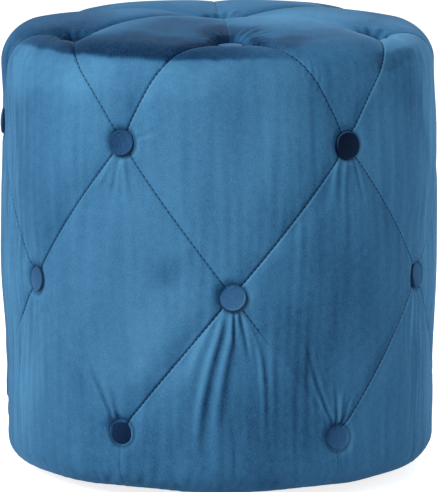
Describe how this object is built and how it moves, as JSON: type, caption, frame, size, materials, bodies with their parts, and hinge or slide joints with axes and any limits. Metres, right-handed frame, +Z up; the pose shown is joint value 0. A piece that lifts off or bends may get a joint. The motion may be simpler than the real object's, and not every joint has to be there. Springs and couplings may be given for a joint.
{
  "type": "tuffet",
  "caption": "Round drum-shaped tuffet in deep-buttoned velvet, with diamond seams down the side and a tufted top, on small hidden glides.",
  "frame": {"origin": "on the floor, under the middle of the tuffet", "axes": "+Z up along the axis of the drum, -Y towards the side that the picture shows, +X to its right"},
  "size_m": [0.3978, 0.3978, 0.4177],
  "materials": {
    "velvet": "matte",
    "button_velvet": "matte",
    "wadding": "matte",
    "foam": "matte",
    "hardboard": "matte",
    "plywood": "matte",
    "pine": "matte",
    "dust_fabric": "matte",
    "nylon": "satin",
    "steel": "satin"
  },
  "bodies": {
    "root": {"velvet_cover": "velvet", "wadding": "wadding", "side_foam": "foam", "top_foam": "foam", "side_skin": "hardboard", "top_board": "plywood", "base_board": "plywood", "dust_cover": "dust_fabric", "button_top_centre": "button_velvet", "button_top_1": "button_velvet", "button_top_2": "button_velvet", "button_top_3": "button_velvet", "button_top_4": "button_velvet", "button_top_5": "button_velvet", "button_top_6": "button_velvet", "button_upper_1": "button_velvet", "button_upper_2": "button_velvet", "button_upper_3": "button_velvet", "button_upper_4": "button_velvet", "button_upper_5": "button_velvet", "button_upper_6": "button_velvet", "button_middle_1": "button_velvet", "button_middle_2": "button_velvet", "button_middle_3": "button_velvet", "button_middle_4": "button_velvet", "button_middle_5": "button_velvet", "button_middle_6": "button_velvet", "button_lower_1": "button_velvet", "button_lower_2": "button_velvet", "button_lower_3": "button_velvet", "button_lower_4": "button_velvet", "button_lower_5": "button_velvet", "button_lower_6": "button_velvet", "post_1": "pine", "post_2": "pine", "post_3": "pine", "post_4": "pine", "post_5": "pine", "post_6": "pine", "top_screw_1": "steel", "top_screw_2": "steel", "top_screw_3": "steel", "top_screw_4": "steel", "top_screw_5": "steel", "top_screw_6": "steel", "base_screw_1": "steel", "base_screw_2": "steel", "base_screw_3": "steel", "base_screw_4": "steel", "base_screw_5": "steel", "base_screw_6": "steel", "glide_nail_1": "steel", "glide_nail_2": "steel", "glide_nail_3": "steel", "glide_nail_4": "steel", "glide_1": "nylon", "glide_2": "nylon", "glide_3": "nylon", "glide_4": "nylon"}
  },
  "joints": []
}
